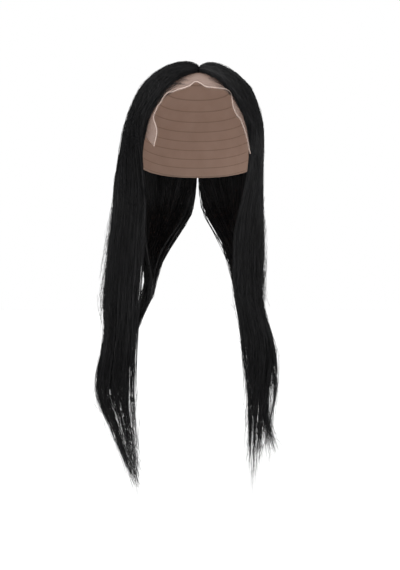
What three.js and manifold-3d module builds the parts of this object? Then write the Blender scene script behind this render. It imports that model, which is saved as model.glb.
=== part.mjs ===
// Long straight hair topper with a centre part and a sheer lace front, in the form it has when worn.
// Millimetres, +Z up, the wearer faces -Y. The origin is the crown of the head, on the inside of the cap.
import * as THREE from "three";
import { ParametricGeometry } from "three/addons/geometries/ParametricGeometry.js";
import { mergeVertices } from "three/addons/utils/BufferGeometryUtils.js";
import Module from "manifold-3d";

const wasm = await Module();
wasm.setup();

// Head that the cap is made for
const HEAD_BREADTH = 144;
const HEAD_LENGTH = 188;
const CROWN_HEIGHT = 106; // from the widest level of the head up to its crown
const HEAD_SQUARENESS = 2.3; // 2 is an ellipsoid, more is boxier
const FOREHEAD_NARROWING = 0.09; // the forehead is narrower than the back by this share each way
const HEAD_SIDES = 32;
const HEAD_RINGS = 20;
const HEAD_CENTRE = new THREE.Vector3(0, 0, -CROWN_HEIGHT);

// Cloth of the cap and of the lace front
const CLOTH = 1;
const FIT_GAP = 0.5; // between hair and cloth
const SEAM_GAP = 0.3; // between the cap and the lace front
const SEAM_FRONT = 22; // the seam runs from ear to ear, this far in front of the crown
const RIM_DROP_FRONT = 100; // the cap's rim below the crown, level with the seam
const RIM_DROP_BACK = 120; // and at the back of the head

// Hair
const PART_OFFSET = 2; // the part lies this far to the +X side of the crown
const PART_GAP = 0.8; // half the bare line between the two sides of the part
const HAIR_UNDERLAP = 1; // how far the hair solids start inside the cloth before they are cut to clear it

// How the hair runs over the cap, from the front hairline round to the nape.
// root: degrees along the part from the crown, forward negative.
// sweep: how far sideways it leaves the part.
// turn: degrees from straight ahead, and drop: mm below the crown, where it leaves the cap.
// loft: its height above the cap as a share of the heights in LIFT.
// rear: how far it takes the height at the back.
const FLOW = [
  { place: "hairline", root: -31, sweep: 0.1, turn: 46, drop: 78, loft: 0.45, rear: 0 },
  { place: "temple", root: -18, sweep: 0.8, turn: 72, drop: 95, loft: 0.95, rear: 0 },
  { place: "ear", root: -4, sweep: 0.8, turn: 92, drop: 104, loft: 1, rear: 0 },
  { place: "behind_ear", root: 9, sweep: 0.75, turn: 118, drop: 110, loft: 1, rear: 0.5 },
  { place: "back", root: 22, sweep: 0.5, turn: 148, drop: 116, loft: 1, rear: 1 },
  { place: "nape", root: 34, sweep: 0.01, turn: 179.6, drop: 120, loft: 1, rear: 1 },
];

// Height of the hair above the cap on its way from the part (share 0) to the rim (share 1).
const LIFT = [
  { share: 0, left: 3, right: 3, back: 2 },
  { share: 0.1, left: 10, right: 9, back: 8.5 },
  { share: 0.25, left: 12.5, right: 9.5, back: 10 },
  { share: 0.45, left: 16, right: 12, back: 10 },
  { share: 0.7, left: 17.5, right: 9.5, back: 9 },
  { share: 0.95, left: 17.5, right: 5.5, back: 8 },
];

// Cross-sections of the falls below the cap. Each is a curve from the front edge round the outside
// to the back edge, and the hair fills it towards the middle by the share in fill.
const FRONT_FALL_LEFT = [
  { drop: 130, frontX: -59, frontY: -46, outerX: -97, outerY: -4, backX: -77, backY: 44, fill: 0.3 },
  { drop: 160, frontX: -59, frontY: -45, outerX: -100, outerY: -10, backX: -77, backY: 34, fill: 0.5 },
  { drop: 195, frontX: -61, frontY: -46, outerX: -105, outerY: -20, backX: -75, backY: 18, fill: 0.75 },
  { drop: 235, frontX: -62.5, frontY: -50, outerX: -108.5, outerY: -32, backX: -73, backY: 2, fill: 0.95 },
  { drop: 275, frontX: -65.5, frontY: -58, outerX: -111.5, outerY: -45, backX: -74, backY: -18, fill: 1 },
  { drop: 315, frontX: -68, frontY: -68, outerX: -111, outerY: -56, backX: -78, backY: -34, fill: 1 },
  { drop: 360, frontX: -68.5, frontY: -74, outerX: -118, outerY: -62, backX: -80, backY: -42, fill: 1 },
  { drop: 390, frontX: -68.5, frontY: -74, outerX: -115, outerY: -62, backX: -80, backY: -44, fill: 1 },
  { drop: 415, frontX: -68, frontY: -73, outerX: -102.5, outerY: -62, backX: -78, backY: -47, fill: 1 },
  { drop: 445, frontX: -67.5, frontY: -71, outerX: -89.5, outerY: -63, backX: -74, backY: -52, fill: 1 },
  { drop: 470, frontX: -67, frontY: -68, outerX: -79, outerY: -63, backX: -71, backY: -57, fill: 1 },
  { drop: 496, frontX: -66, frontY: -65, outerX: -69, outerY: -63, backX: -67, backY: -61, fill: 1 },
];
const FRONT_FALL_RIGHT = [
  { drop: 130, frontX: 57.5, frontY: -46, outerX: 77, outerY: -4, backX: 73, backY: 44, fill: 0.25 },
  { drop: 160, frontX: 50.5, frontY: -46, outerX: 77, outerY: -8, backX: 71, backY: 34, fill: 0.45 },
  { drop: 195, frontX: 42.5, frontY: -47, outerX: 76.5, outerY: -18, backX: 68, backY: 19, fill: 0.75 },
  { drop: 235, frontX: 41, frontY: -52, outerX: 76.5, outerY: -30, backX: 63, backY: 3, fill: 0.95 },
  { drop: 265, frontX: 41.5, frontY: -58, outerX: 75, outerY: -40, backX: 61, backY: -12, fill: 1 },
  { drop: 285, frontX: 45, frontY: -62, outerX: 76.5, outerY: -47, backX: 62, backY: -26, fill: 1 },
  { drop: 315, frontX: 49.5, frontY: -68, outerX: 86, outerY: -56, backX: 66, backY: -36, fill: 1 },
  { drop: 340, frontX: 53, frontY: -72, outerX: 87, outerY: -60, backX: 70, backY: -40, fill: 1 },
  { drop: 375, frontX: 56.5, frontY: -74, outerX: 86, outerY: -62, backX: 72, backY: -44, fill: 1 },
  { drop: 410, frontX: 57, frontY: -73, outerX: 82, outerY: -62, backX: 72, backY: -48, fill: 1 },
  { drop: 440, frontX: 58.5, frontY: -70, outerX: 76, outerY: -62, backX: 68, backY: -52, fill: 1 },
  { drop: 470, frontX: 61, frontY: -67, outerX: 70, outerY: -62, backX: 66, backY: -57, fill: 1 },
  { drop: 502, frontX: 63, frontY: -64, outerX: 66, outerY: -62.5, backX: 64, backY: -60.5, fill: 1 },
];
const BACK_FALL_LEFT = [
  { drop: 145, frontX: -74, frontY: 38, outerX: -56, outerY: 76, backX: -2, backY: 99, fill: 0.2 },
  { drop: 170, frontX: -71, frontY: 26, outerX: -58, outerY: 64, backX: -8, backY: 90, fill: 0.3 },
  { drop: 205, frontX: -67, frontY: 4, outerX: -66, outerY: 38, backX: -30, backY: 66, fill: 0.5 },
  { drop: 240, frontX: -57, frontY: -16, outerX: -66, outerY: 14, backX: -46, backY: 34, fill: 0.85 },
  { drop: 270, frontX: -54.5, frontY: -28, outerX: -63, outerY: -8, backX: -51, backY: 8, fill: 1 },
  { drop: 300, frontX: -64, frontY: -42, outerX: -77, outerY: -30, backX: -64, backY: -16, fill: 1 },
  { drop: 345, frontX: -74, frontY: -51, outerX: -92, outerY: -46, backX: -79, backY: -34, fill: 1 },
  { drop: 400, frontX: -76, frontY: -54, outerX: -94, outerY: -50, backX: -80, backY: -40, fill: 1 },
  { drop: 440, frontX: -75, frontY: -56, outerX: -82, outerY: -53, backX: -77, backY: -49, fill: 1 },
];
const BACK_FALL_RIGHT = [
  { drop: 145, frontX: 73, frontY: 38, outerX: 56, outerY: 76, backX: 2, backY: 99, fill: 0.2 },
  { drop: 170, frontX: 69, frontY: 26, outerX: 57, outerY: 64, backX: 8, backY: 90, fill: 0.3 },
  { drop: 205, frontX: 61, frontY: 4, outerX: 61, outerY: 38, backX: 28, backY: 66, fill: 0.5 },
  { drop: 240, frontX: 51, frontY: -16, outerX: 60, outerY: 14, backX: 39, backY: 34, fill: 0.85 },
  { drop: 270, frontX: 46, frontY: -30, outerX: 59, outerY: -8, backX: 43, backY: 8, fill: 1 },
  { drop: 300, frontX: 50, frontY: -43, outerX: 63, outerY: -30, backX: 49, backY: -16, fill: 1 },
  { drop: 345, frontX: 57, frontY: -51, outerX: 74, outerY: -46, backX: 61, backY: -34, fill: 1 },
  { drop: 400, frontX: 60, frontY: -54, outerX: 76, outerY: -50, backX: 64, backY: -40, fill: 1 },
  { drop: 440, frontX: 63, frontY: -56, outerX: 70, outerY: -53, backX: 65, backY: -49, fill: 1 },
];

// Locks of a fall, from its front edge to its back edge.
// ends: how far down the fall the lock's tip reaches.
const FRONT_LOCKS = [{ ends: 0.95 }, { ends: 1 }, { ends: 0.94 }, { ends: 0.98 }, { ends: 0.92 }];
const BACK_LOCKS = [{ ends: 1 }, { ends: 0.94 }, { ends: 0.97 }, { ends: 0.92 }];
const SHEAF_STEPS = 16;
const SHEAF_END = 0.88; // the locks lie side by side to here and hang free below
const SHEAF_INSIDE = 0.93; // depth of the fall's inner face
const GROOVE_DEPTH = 0.16; // of the grooves between locks
const CROWN_FLAT = 0.2; // half the flat top of a lock, as a share of its width
const TIP_FROM = 0.8; // the free end of a lock starts inside its fall
const TIP_SIDES = 6;
const TIP_STEPS = 5;
const TIP_WIDTH = 0.46; // half the width of a free end, as a share of the lock's
const TIP_DEPTH = 0.62; // depth of its inner side
const TIP_POINT = 0.25; // its width at the tip, as a share of its width above

// Lace front, from the left temple to the right.
// The hair starts at the hairline, and the bare lace ends at its edge.
// stand: how far the edge stands off the forehead.
const LACE = [
  { hairTurn: -49, hairDrop: 85, edgeTurn: -30.5, edgeDrop: 99.5, stand: 7 },
  { hairTurn: -48, hairDrop: 79, edgeTurn: -29.5, edgeDrop: 82, stand: 5 },
  { hairTurn: -45.5, hairDrop: 69, edgeTurn: -36, edgeDrop: 63.5, stand: 3 },
  { hairTurn: -44, hairDrop: 57, edgeTurn: -35.5, edgeDrop: 54, stand: 1 },
  { hairTurn: -42, hairDrop: 45, edgeTurn: -32, edgeDrop: 47, stand: 1.5 },
  { hairTurn: -36, hairDrop: 32.5, edgeTurn: -26.5, edgeDrop: 38, stand: 2 },
  { hairTurn: -25, hairDrop: 22, edgeTurn: -17, edgeDrop: 35, stand: 1 },
  { hairTurn: -12, hairDrop: 11, edgeTurn: -8, edgeDrop: 31, stand: 1.5 },
  { hairTurn: 4, hairDrop: 5, edgeTurn: 0, edgeDrop: 23, stand: 0.5 },
  { hairTurn: 15, hairDrop: 11, edgeTurn: 9, edgeDrop: 30, stand: 1.5 },
  { hairTurn: 26, hairDrop: 21.5, edgeTurn: 22.5, edgeDrop: 30, stand: 1 },
  { hairTurn: 35, hairDrop: 33, edgeTurn: 32, edgeDrop: 36.5, stand: 1.5 },
  { hairTurn: 38.5, hairDrop: 46, edgeTurn: 29, edgeDrop: 51, stand: 2 },
  { hairTurn: 42, hairDrop: 57.5, edgeTurn: 32, edgeDrop: 63, stand: 2 },
  { hairTurn: 46.5, hairDrop: 69.5, edgeTurn: 38, edgeDrop: 71, stand: 1 },
  { hairTurn: 49, hairDrop: 85.5, edgeTurn: 42, edgeDrop: 86, stand: 1.5 },
  { hairTurn: 51, hairDrop: 102.5, edgeTurn: 49.5, edgeDrop: 104, stand: 0.5 },
];
const LACE_STEPS = 32; // along the lace
const LACE_STEPS_UNDER = 3; // across the lace, under the hair
const LACE_STEPS_BARE = 3; // and across its bare part

const HAIR_BLACK = new THREE.MeshStandardMaterial({ color: 0x111113, roughness: 0.42, metalness: 0 });
const LACE_TAN = new THREE.MeshStandardMaterial({ color: 0xcdb2a4, roughness: 0.85, metalness: 0 });
const CAP_TAN = new THREE.MeshStandardMaterial({ color: 0x8d7263, roughness: 0.9, metalness: 0 });

// Distance from the middle of the head to its surface in a direction.
function headRadius(dir) {
  const level = Math.hypot(dir.x, dir.y);
  const backward = level > 0 ? dir.y / level : 0;
  const breadth = (HEAD_BREADTH / 2) * (1 + FOREHEAD_NARROWING * backward);
  const reach = [dir.x / breadth, dir.y / (HEAD_LENGTH / 2), dir.z / CROWN_HEIGHT];
  return reach.reduce((sum, r) => sum + Math.abs(r) ** HEAD_SQUARENESS, 0) ** (-1 / HEAD_SQUARENESS);
}

function overHead(dir, height) {
  return dir.clone().multiplyScalar(headRadius(dir) + height).add(HEAD_CENTRE);
}

// Direction from the middle of the head to the point of its surface at a turn and a drop.
function headDirection(turn, drop) {
  const angle = THREE.MathUtils.degToRad(turn);
  const breadth = (HEAD_BREADTH / 2) * (1 - FOREHEAD_NARROWING * Math.cos(angle));
  const rise = (CROWN_HEIGHT - drop) / CROWN_HEIGHT;
  const outline =
    Math.abs(Math.sin(angle) / breadth) ** HEAD_SQUARENESS +
    Math.abs(Math.cos(angle) / (HEAD_LENGTH / 2)) ** HEAD_SQUARENESS;
  const reach = ((1 - Math.abs(rise) ** HEAD_SQUARENESS) / outline) ** (1 / HEAD_SQUARENESS);
  const surface = new THREE.Vector3(reach * Math.sin(angle), -reach * Math.cos(angle), CROWN_HEIGHT - drop);
  return surface.normalize();
}

// A column of a table as a smooth function of the share of the way down its rows.
function column(rows, name) {
  const curve = new THREE.SplineCurve(rows.map((row, i) => new THREE.Vector2(i, row[name])));
  return (share) => curve.getPoint(share).y;
}

function columns(rows, names) {
  return Object.fromEntries(names.map((name) => [name, column(rows, name)]));
}

// A closed solid whose rings run from share 0 to share 1. pointAt takes the corner of the ring,
// the share of the way, and whether the ring is one of the two that close the ends.
function closedTube(corners, steps, pointAt) {
  const surface = (around, way, target) => {
    const corner = Math.round(around * corners) % corners;
    const share = THREE.MathUtils.clamp((way * (steps + 2) - 1) / steps, 0, 1);
    target.copy(pointAt(corner, share, way === 0 || way === 1));
  };
  return new ParametricGeometry(surface, corners, steps + 2);
}

// A closed band with an outer and an inner face. places run across it, and layer is 0 outside and 1 inside.
function closedBand(places, steps, pointAt) {
  const ring = [
    ...places.map((place) => ({ place, layer: 0 })),
    ...places.map((place) => ({ place, layer: 1 })).reverse(),
  ];
  return closedTube(ring.length, steps, (corner, share, isEnd) => {
    const { place, layer } = ring[corner];
    return pointAt(place, isEnd ? 0.5 : layer, share);
  });
}

// A three.js geometry as a solid that can be joined and cut, with its faces pointing out.
function solidOf(geometry) {
  const bare = geometry.clone();
  bare.deleteAttribute("normal");
  bare.deleteAttribute("uv");
  const merged = mergeVertices(bare, 1e-4);
  const corners = merged.index.array;
  const faces = [];
  for (let i = 0; i < corners.length; i += 3) {
    const [a, b, c] = corners.slice(i, i + 3);
    if (a !== b && b !== c && c !== a) faces.push([a, b, c]);
  }
  const build = (list) =>
    new wasm.Manifold(
      new wasm.Mesh({
        numProp: 3,
        vertProperties: merged.attributes.position.array,
        triVerts: new Uint32Array(list.flat()),
      }),
    );
  const solid = build(faces);
  return solid.volume() > 0 ? solid : build(faces.map(([a, b, c]) => [a, c, b]));
}

function geometryOf(solid) {
  const { vertProperties, triVerts } = solid.getMesh();
  const geometry = new THREE.BufferGeometry();
  geometry.setAttribute("position", new THREE.BufferAttribute(vertProperties, 3));
  geometry.setIndex(new THREE.BufferAttribute(triVerts, 1));
  geometry.computeVertexNormals();
  return geometry;
}

// The head's outline as a solid, grown by a height.
function headForm(height) {
  const surface = (around, down, target) => {
    const turn = 2 * Math.PI * (around === 1 ? 0 : around);
    const tilt = Math.PI * down;
    const level = down === 0 || down === 1 ? 0 : Math.sin(tilt);
    const dir = new THREE.Vector3(level * Math.sin(turn), -level * Math.cos(turn), Math.cos(tilt));
    target.copy(overHead(dir, height));
  };
  return solidOf(new ParametricGeometry(surface, HEAD_SIDES, HEAD_RINGS));
}

// A block that takes away everything on the far side of a plane through a point.
function blockBeyond(point, normal) {
  const size = 4 * HEAD_LENGTH;
  const block = new THREE.BoxGeometry(size, size, size);
  block.translate(0, 0, size / 2);
  block.applyQuaternion(new THREE.Quaternion().setFromUnitVectors(new THREE.Vector3(0, 0, 1), normal));
  block.translate(point.x, point.y, point.z);
  return solidOf(block);
}

// Everything below the rim, which slopes down from the seam to the back of the head.
function belowRim() {
  const run = SEAM_FRONT + HEAD_LENGTH / 2;
  const normal = new THREE.Vector3(0, -(RIM_DROP_BACK - RIM_DROP_FRONT), -run).normalize();
  return blockBeyond(new THREE.Vector3(0, -SEAM_FRONT, -RIM_DROP_FRONT), normal);
}

// The open cap that carries the hair, from the lace seam back over the crown to the rim.
function capBase() {
  const aheadOfSeam = blockBeyond(
    new THREE.Vector3(0, -SEAM_FRONT, 0),
    new THREE.Vector3(0, -1, 0),
  );
  return headForm(CLOTH)
    .subtract(headForm(0))
    .subtract(belowRim())
    .subtract(aheadOfSeam);
}

// The sheer band from the seam to its wavy edge, between two heights over the head.
// across runs from the seam (0) by the hairline (0.5) to the edge (1), and on to reach if that is more.
function laceBand(low, high, reach = 1) {
  const lace = columns(LACE, ["hairTurn", "hairDrop", "edgeTurn", "edgeDrop", "stand"]);
  const seamY = -SEAM_FRONT - SEAM_GAP;
  const seamEnd = seamAngleAt(RIM_DROP_FRONT, seamY);
  const seamTilt = (share) => THREE.MathUtils.lerp(-seamEnd, seamEnd, share);
  const place = (share, across, height) => {
    const seam = seamDirection(seamTilt(share), seamY);
    const hair = headDirection(lace.hairTurn(share), lace.hairDrop(share));
    const edge = headDirection(lace.edgeTurn(share), lace.edgeDrop(share));
    const [from, to, part] = across < 0.5 ? [seam, hair, 2 * across] : [hair, edge, 2 * across - 1];
    const dir = from.clone().lerp(to, part).normalize();
    const stand = across < 0.5 ? 0 : lace.stand(share) * part ** 2;
    return overHead(dir, height + stand);
  };
  const acrossSteps = [];
  for (let i = 0; i < LACE_STEPS_UNDER; i++) acrossSteps.push((0.5 * i) / LACE_STEPS_UNDER);
  for (let i = 0; i <= LACE_STEPS_BARE; i++) acrossSteps.push(0.5 + ((reach - 0.5) * i) / LACE_STEPS_BARE);
  return closedBand(acrossSteps, LACE_STEPS, (across, layer, share) =>
    place(share, across, THREE.MathUtils.lerp(high, low, layer)),
  );
}

// The seam lies in a plane across the head.
// Its points are directions at an angle from straight up in that plane.
function seamDirection(angle, seamY) {
  const dir = new THREE.Vector3(Math.sin(angle), 0, Math.cos(angle));
  for (let i = 0; i < 12; i++) {
    const radius = headRadius(dir.clone().normalize());
    const level = Math.sqrt(radius ** 2 - seamY ** 2);
    dir.set(level * Math.sin(angle), seamY, level * Math.cos(angle));
  }
  return dir.normalize();
}

// The angle at which the seam reaches a drop.
function seamAngleAt(drop, seamY) {
  let low = 0;
  let high = Math.PI;
  for (let i = 0; i < 30; i++) {
    const middle = (low + high) / 2;
    const isAbove = overHead(seamDirection(middle, seamY), 0).z > -drop;
    if (isAbove) low = middle;
    else high = middle;
  }
  return low;
}

// One side's hair over the cap and down a fall, as a function of the place across the fall
// (front edge 0, back edge 1), the depth into it (outside 0, inside 1) and the share of its length.
function hairField({ side, flowFrom, flowTo, falls }) {
  const flow = columns(FLOW, ["root", "sweep", "turn", "drop", "loft", "rear"]);
  const outward = new THREE.Vector3(side, 0, 0);
  const overCap = (place, depth, { share, left, right, back }) => {
    const across = THREE.MathUtils.clamp(place, 0, 1);
    const row = THREE.MathUtils.lerp(flowFrom, flowTo, across) / (FLOW.length - 1);
    const tilt = THREE.MathUtils.degToRad(flow.root(row));
    const root = new THREE.Vector3(0, Math.sin(tilt), Math.cos(tilt));
    const beside = root.clone().addScaledVector(outward, flow.sweep(row)).normalize();
    const rim = headDirection(side * flow.turn(row), flow.drop(row));
    const dir = root
      .clone()
      .multiplyScalar((1 - share) ** 2)
      .addScaledVector(beside, 2 * share * (1 - share))
      .addScaledVector(rim, share ** 2)
      .normalize();
    const lift = THREE.MathUtils.lerp(side < 0 ? left : right, back, flow.rear(row)) * flow.loft(row);
    const height = CLOTH + lift - depth * (lift + HAIR_UNDERLAP);
    const shift = PART_OFFSET * (1 - share) ** 2 + side * PART_GAP * (1 - share);
    return overHead(dir, height).add(new THREE.Vector3(shift, 0, 0));
  };
  const inFall = (place, depth, row) => {
    const front = new THREE.Vector3(row.frontX, row.frontY, -row.drop);
    const outer = new THREE.Vector3(row.outerX, row.outerY, -row.drop);
    const back = new THREE.Vector3(row.backX, row.backY, -row.drop);
    const core = front.clone().add(back).multiplyScalar(0.25).addScaledVector(outer, 0.5);
    return front
      .multiplyScalar((1 - place) * (1 - 2 * place))
      .addScaledVector(outer, 4 * place * (1 - place))
      .addScaledVector(back, place * (2 * place - 1))
      .lerp(core, depth * row.fill);
  };
  return (place, depth, share) => {
    const stations = [
      ...LIFT.map((row) => overCap(place, depth, row)),
      ...falls.map((row) => inFall(place, depth, row)),
    ];
    return new THREE.CatmullRomCurve3(stations, false, "centripetal").getPoint(share);
  };
}

// The locks of a fall side by side, from the part down to where they hang free.
function sheaf(field, count) {
  const places = [{ at: 0, depth: GROOVE_DEPTH }];
  for (let i = 0; i < count; i++) {
    places.push({ at: (i + 0.5 - CROWN_FLAT) / count, depth: 0 });
    places.push({ at: (i + 0.5 + CROWN_FLAT) / count, depth: 0 });
    places.push({ at: (i + 1) / count, depth: GROOVE_DEPTH });
  }
  return closedBand(places, SHEAF_STEPS, ({ at, depth }, layer, share) =>
    field(at, THREE.MathUtils.lerp(depth, SHEAF_INSIDE, layer), share * SHEAF_END),
  );
}

// The free end of one lock, tapering to its tip.
function lockTip(field, at, halfWidth, ends) {
  const middle = TIP_DEPTH / 2;
  return closedTube(TIP_SIDES, TIP_STEPS, (corner, share, isEnd) => {
    const angle = (2 * Math.PI * corner) / TIP_SIDES;
    const size = isEnd ? 0 : THREE.MathUtils.lerp(1, TIP_POINT, share ** 2);
    const place = at + halfWidth * size * Math.cos(angle);
    const depth = middle + middle * size * Math.sin(angle);
    return field(place, depth, THREE.MathUtils.lerp(TIP_FROM, ends, share));
  });
}

function fall(field, locks) {
  const halfWidth = TIP_WIDTH / locks.length;
  const tips = locks.map(({ ends }, i) => lockTip(field, (i + 0.5) / locks.length, halfWidth, ends));
  return [sheaf(field, locks.length), ...tips];
}

// All the hair on one side of the part, joined into one body and cut to lie just clear of the cloth.
function hairSide(side, frontFalls, backFalls) {
  const front = hairField({ side, flowFrom: 0, flowTo: 3, falls: frontFalls });
  const back = hairField({ side, flowFrom: 2.6, flowTo: 5, falls: backFalls });
  const capAndGap = headForm(CLOTH + FIT_GAP).subtract(belowRim());
  const laceAndGap = solidOf(laceBand(-FIT_GAP, CLOTH + FIT_GAP, 1.1));
  return [...fall(front, FRONT_LOCKS), ...fall(back, BACK_LOCKS)]
    .map(solidOf)
    .reduce((joined, next) => joined.add(next))
    .subtract(capAndGap)
    .subtract(laceAndGap);
}

function named(name, geometry, material) {
  const mesh = new THREE.Mesh(geometry, material);
  mesh.name = name;
  return mesh;
}

const topper = new THREE.Group();
topper.add(named("cap_base", geometryOf(capBase()), CAP_TAN));
topper.add(named("lace_front", laceBand(0, CLOTH), LACE_TAN));
topper.add(named("hair_left", geometryOf(hairSide(-1, FRONT_FALL_LEFT, BACK_FALL_LEFT)), HAIR_BLACK));
topper.add(named("hair_right", geometryOf(hairSide(1, FRONT_FALL_RIGHT, BACK_FALL_RIGHT)), HAIR_BLACK));

export default topper;
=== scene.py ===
"""Long straight black hair topper with a centre part and a sheer lace front, in a plain studio.

The tables are in millimetres. The origin is the crown of the form that the cap is made on, +Z is up, and
the front faces -Y.
"""

import math
from collections import namedtuple

import bmesh
import bpy
import numpy as np
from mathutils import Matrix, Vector


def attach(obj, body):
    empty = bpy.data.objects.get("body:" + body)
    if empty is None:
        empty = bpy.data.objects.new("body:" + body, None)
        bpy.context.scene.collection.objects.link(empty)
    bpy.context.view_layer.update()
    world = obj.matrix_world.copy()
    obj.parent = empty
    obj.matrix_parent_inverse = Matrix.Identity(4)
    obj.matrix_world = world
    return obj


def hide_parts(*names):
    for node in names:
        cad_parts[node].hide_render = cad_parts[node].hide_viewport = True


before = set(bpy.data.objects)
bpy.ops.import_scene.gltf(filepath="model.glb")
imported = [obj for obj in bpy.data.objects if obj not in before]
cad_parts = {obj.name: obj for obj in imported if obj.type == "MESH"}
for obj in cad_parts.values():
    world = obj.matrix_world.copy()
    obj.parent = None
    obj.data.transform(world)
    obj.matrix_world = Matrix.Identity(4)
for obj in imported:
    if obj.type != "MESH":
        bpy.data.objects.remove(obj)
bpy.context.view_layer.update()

MM = 0.001
TINY = 1e-9
BODY = "root"

# Form that the cap is made on

FORM_HALF_BREADTH = 72.0
FORM_HALF_LENGTH = 94.0
CROWN_HEIGHT = 106.0  # from the widest level of the form up to its crown
FORM_SQUARENESS = 2.3  # 2 is an ellipsoid, more is boxier
FRONT_NARROWING = 0.09  # the front is narrower by this share, and the back broader
FORM_CENTRE = np.array((0.0, 0.0, -CROWN_HEIGHT))

# Cap and lace front

CLOTH = 1.0  # height over the form that the cloth takes up
SEAM_FRONT = 22.0  # the seam runs across the top, this far in front of the crown
SEAM_LAP = 0.8  # the lace runs this far into the cap's edge
SEAM_ROUNDS = 12  # rounds of closing in on a point of the seam
SEAM_SAMPLES = 400
SEAM_SPAN = math.pi * 0.75  # angle from straight up that the samples reach to
RIM_DROP_FRONT = 100.0  # the cap's rim below the crown, level with the seam
RIM_DROP_BACK = 120.0  # and at the back
CAP_THICKNESS = 0.8
CAP_SEGMENTS = (96, 64)
LACE_THICKNESS = 0.25
LACE_SEGMENTS = (200, 24)
LACE_UNDER = 0.25  # share of the lace's rows that lies under the hair
LACE_FOLD = 0.85  # share of its rows at which the edge folds back
LACE_HEM = 1.8  # the edge is folded back by this much
HEM_MOST = 0.8  # and by no more than this share of the bare lace
HEM_LIFT = 1.1  # the fold stands this high
HEM_RISE = (0, 0.4)  # shares of the fold in which it rises
HEM_RETURN = (0.1, 1)  # and in which it turns back
LACE_RIPPLE = 0.5  # how far the bare edge waves in and out
RIPPLES = ((11, 1, 0), (19, 0.5, 1))  # waves along the edge, their height and where they start
RIPPLE_GROWTH = 1.5  # power by which the waves grow towards the edge

# From the -X end of the lace to its +X end. turn: degrees from straight ahead, and drop: below the crown, of
# the hairline and of the edge. stand: how far the edge stands off the form.
LACE_COLUMNS = ("hair_turn", "hair_drop", "edge_turn", "edge_drop", "stand")
LACE_ROWS = (
    (-49, 85, -30.5, 99.5, 7),
    (-48, 79, -29.5, 82, 5),
    (-45.5, 69, -36, 63.5, 3),
    (-44, 57, -35.5, 54, 1),
    (-42, 45, -32, 47, 1.5),
    (-36, 32.5, -26.5, 38, 2),
    (-25, 22, -17, 35, 1),
    (-12, 11, -8, 31, 1.5),
    (4, 5, 0, 24.5, 0.5),
    (15, 11, 9, 32.5, 1.5),
    (26, 21.5, 22.5, 32, 1),
    (35, 33, 32, 36.5, 1.5),
    (38.5, 46, 29, 51, 2),
    (42, 57.5, 32, 63, 2),
    (46.5, 69.5, 38, 71, 1),
    (49, 85.5, 42, 86, 1.5),
    (51, 102.5, 49.5, 104, 0.5),
)

# How the hair runs over the cap, from the front hairline round to the back

PART_OFFSET = 2.0  # the part lies this far to the +X side of the crown
PART_CROSSING = 2.5  # roots of each side reach this far over the part
CROSSING_FADE = 12  # power by which that fades away from the part
CAP_FRONT = 0.075  # share of the way round at which the front edge of the hair leaves the hairline's row

# root: tilt in degrees from the crown to the root on the part. sweep and forward: how far the hair is combed
# aside and forward there. turn and drop: where it leaves the cap. loft: share of the height that it takes.
# rear: how far it takes the height at the back.
FLOW_COLUMNS = ("root", "sweep", "forward", "turn", "drop", "loft", "rear")
FLOW_ROWS = (
    (-26, 0.1, 0.19, 46, 78, 0.45, 0),
    (-18, 0.8, 0.06, 72, 95, 0.95, 0),
    (-4, 0.8, 0, 92, 104, 1, 0),
    (9, 0.75, 0, 118, 110, 1, 0.5),
    (22, 0.5, 0, 148, 116, 1, 1),
    (34, 0.01, 0, 179.6, 120, 1, 1),
)
LEFT_TURN = 3.0  # the left side is combed back this much further, in degrees
FRONT_FLOW = (0.0, 3.0)  # rows that the front falls spread over
BACK_FLOW = (2.6, 5.0)

# share: way from the part to the cap's rim. left, right and back: height of the outermost hair there.
LIFT_COLUMNS = ("share", "left", "right", "back")
LIFT_ROWS = (
    (0, 3, 3, 2),
    (0.1, 10.5, 9.5, 8.5),
    (0.25, 14, 10.5, 10),
    (0.45, 18, 13, 10),
    (0.7, 18.5, 10, 9),
    (0.95, 20, 5.5, 8),
)

# Cross-sections of the falls below the cap, from the front edge round the outside to the back edge.
# fill: how far the innermost hair lies towards the middle.
FALL_COLUMNS = ("drop", "front_x", "front_y", "outer_x", "outer_y", "back_x", "back_y", "fill")
FRONT_FALL_LEFT = (
    (130, -59, -46, -99, -4, -77, 44, 0.3),
    (160, -59, -45, -100, -10, -77, 34, 0.5),
    (195, -61, -46, -103.5, -20, -75, 18, 0.75),
    (235, -62.5, -50, -107, -32, -73, 2, 0.95),
    (275, -65.5, -58, -109, -45, -74, -18, 1),
    (315, -68, -68, -107, -56, -78, -34, 1),
    (360, -68.5, -74, -117, -62, -80, -42, 1),
    (390, -68.5, -74, -114.5, -62, -80, -44, 1),
    (415, -68, -73, -101, -62, -78, -47, 1),
    (445, -67.5, -71, -89.5, -63, -74, -52, 1),
    (470, -67, -68, -79, -63, -71, -57, 1),
    (496, -66, -65, -69, -63, -67, -61, 1),
)
FRONT_FALL_RIGHT = (
    (130, 57.5, -46, 77, -4, 73, 44, 0.25),
    (160, 50.5, -46, 77, -8, 71, 34, 0.45),
    (195, 42.5, -47, 76.5, -18, 68, 19, 0.75),
    (235, 41, -52, 76.5, -30, 63, 3, 0.95),
    (265, 41.5, -58, 75, -40, 61, -12, 1),
    (285, 45, -62, 76.5, -47, 62, -26, 1),
    (315, 48, -68, 86, -56, 66, -36, 1),
    (340, 51, -72, 87, -60, 70, -40, 1),
    (375, 54.5, -74, 81, -62, 72, -44, 1),
    (410, 55.5, -73, 79, -62, 72, -48, 1),
    (440, 57, -70, 76, -62, 68, -52, 1),
    (470, 60, -67, 70, -62, 66, -57, 1),
    (502, 63, -64, 66, -62.5, 64, -60.5, 1),
)
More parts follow.
